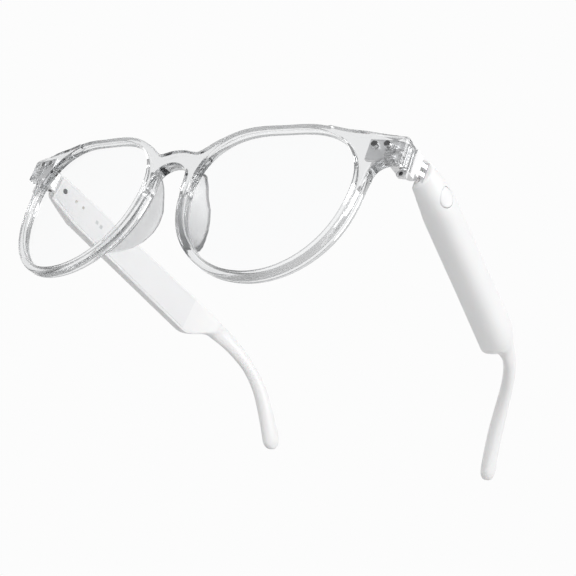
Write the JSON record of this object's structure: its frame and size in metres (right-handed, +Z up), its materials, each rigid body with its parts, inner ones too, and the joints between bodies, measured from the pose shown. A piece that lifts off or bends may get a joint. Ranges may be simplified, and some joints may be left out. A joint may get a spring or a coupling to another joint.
{
  "type": "smart glasses",
  "caption": "Audio smart glasses with a clear front, plain lenses, clear nose pads, metal barrel hinges and thick white temples that hold the electronics.",
  "frame": {"origin": "under the middle of the open glasses' bounding box, level with their lowest point", "axes": "+X towards the wearer's left, +Y back along the temples, +Z up; the front faces -Y"},
  "size_m": [0.1438, 0.1435, 0.0468],
  "materials": {
    "clear_frame": "polished clear acetate",
    "clear_lens": "polished clear plastic lens",
    "clear_pad": "soft clear, slightly cloudy",
    "hinge_metal": "satin",
    "screw_steel": "turned",
    "temple_white": "satin white moulding",
    "cover_white": "satin white moulding",
    "core_wire": "plain",
    "button_white": "satin white moulding",
    "switch_metal": "plain",
    "board": "green solder mask",
    "battery_foil": "foil wrap",
    "speaker_black": "moulded",
    "mesh_black": "blackened",
    "contact_gold": "plated",
    "magnet": "plain",
    "window_smoke": "smoked"
  },
  "bodies": {
    "front": {"front_frame": "clear_frame", "lens_left": "clear_lens", "lens_right": "clear_lens", "nose_pad_left": "clear_pad", "nose_pad_right": "clear_pad", "front_leaf_left": "hinge_metal", "front_leaf_right": "hinge_metal", "front_screws_left": "screw_steel", "front_screws_right": "screw_steel", "hinge_pin_left": "screw_steel", "hinge_pin_right": "screw_steel"},
    "temple_left": {"temple_leaf_left": "hinge_metal", "temple_shell_left": "temple_white", "inner_cover_left": "cover_white", "leaf_screw_left": "screw_steel", "ear_core_left": "core_wire", "button_switch_left": "switch_metal", "circuit_board_left": "board", "battery_left": "battery_foil", "speaker_left": "speaker_black", "speaker_mesh_left": "mesh_black", "microphone_left": "switch_metal", "charging_contacts_left": "contact_gold", "charging_magnet_left": "magnet", "sensor_windows_left": "window_smoke"},
    "button_left_body": {"button_left": "button_white"},
    "temple_right": {"temple_leaf_right": "hinge_metal", "temple_shell_right": "temple_white", "inner_cover_right": "cover_white", "leaf_screw_right": "screw_steel", "ear_core_right": "core_wire", "button_switch_right": "switch_metal", "circuit_board_right": "board", "battery_right": "battery_foil", "speaker_right": "speaker_black", "speaker_mesh_right": "mesh_black", "microphone_right": "switch_metal", "charging_contacts_right": "contact_gold", "charging_magnet_right": "magnet", "sensor_windows_right": "window_smoke"},
    "button_right_body": {"button_right": "button_white"}
  },
  "joints": [
    {"name": "temple_left_hinge", "type": "hinge", "parent": "front", "child": "temple_left", "pos_m": [0.0662, -0.05617, 0.0406], "axis": [0, 0, 1], "range_deg": [0, 82]},
    {"name": "temple_right_hinge", "type": "hinge", "parent": "front", "child": "temple_right", "pos_m": [-0.0662, -0.05617, 0.0406], "axis": [0, 0, -1], "range_deg": [0, 72]},
    {"name": "button_left_press", "type": "slide", "parent": "temple_left", "child": "button_left_body", "axis": [-0.9945, -0.1045, 0], "range_m": [0, 0.0004], "stiffness_N_per_m": 500, "springref_m": -0.0004},
    {"name": "button_right_press", "type": "slide", "parent": "temple_right", "child": "button_right_body", "axis": [0.9945, -0.1045, 0], "range_m": [0, 0.0004], "stiffness_N_per_m": 500, "springref_m": -0.0004}
  ]
}
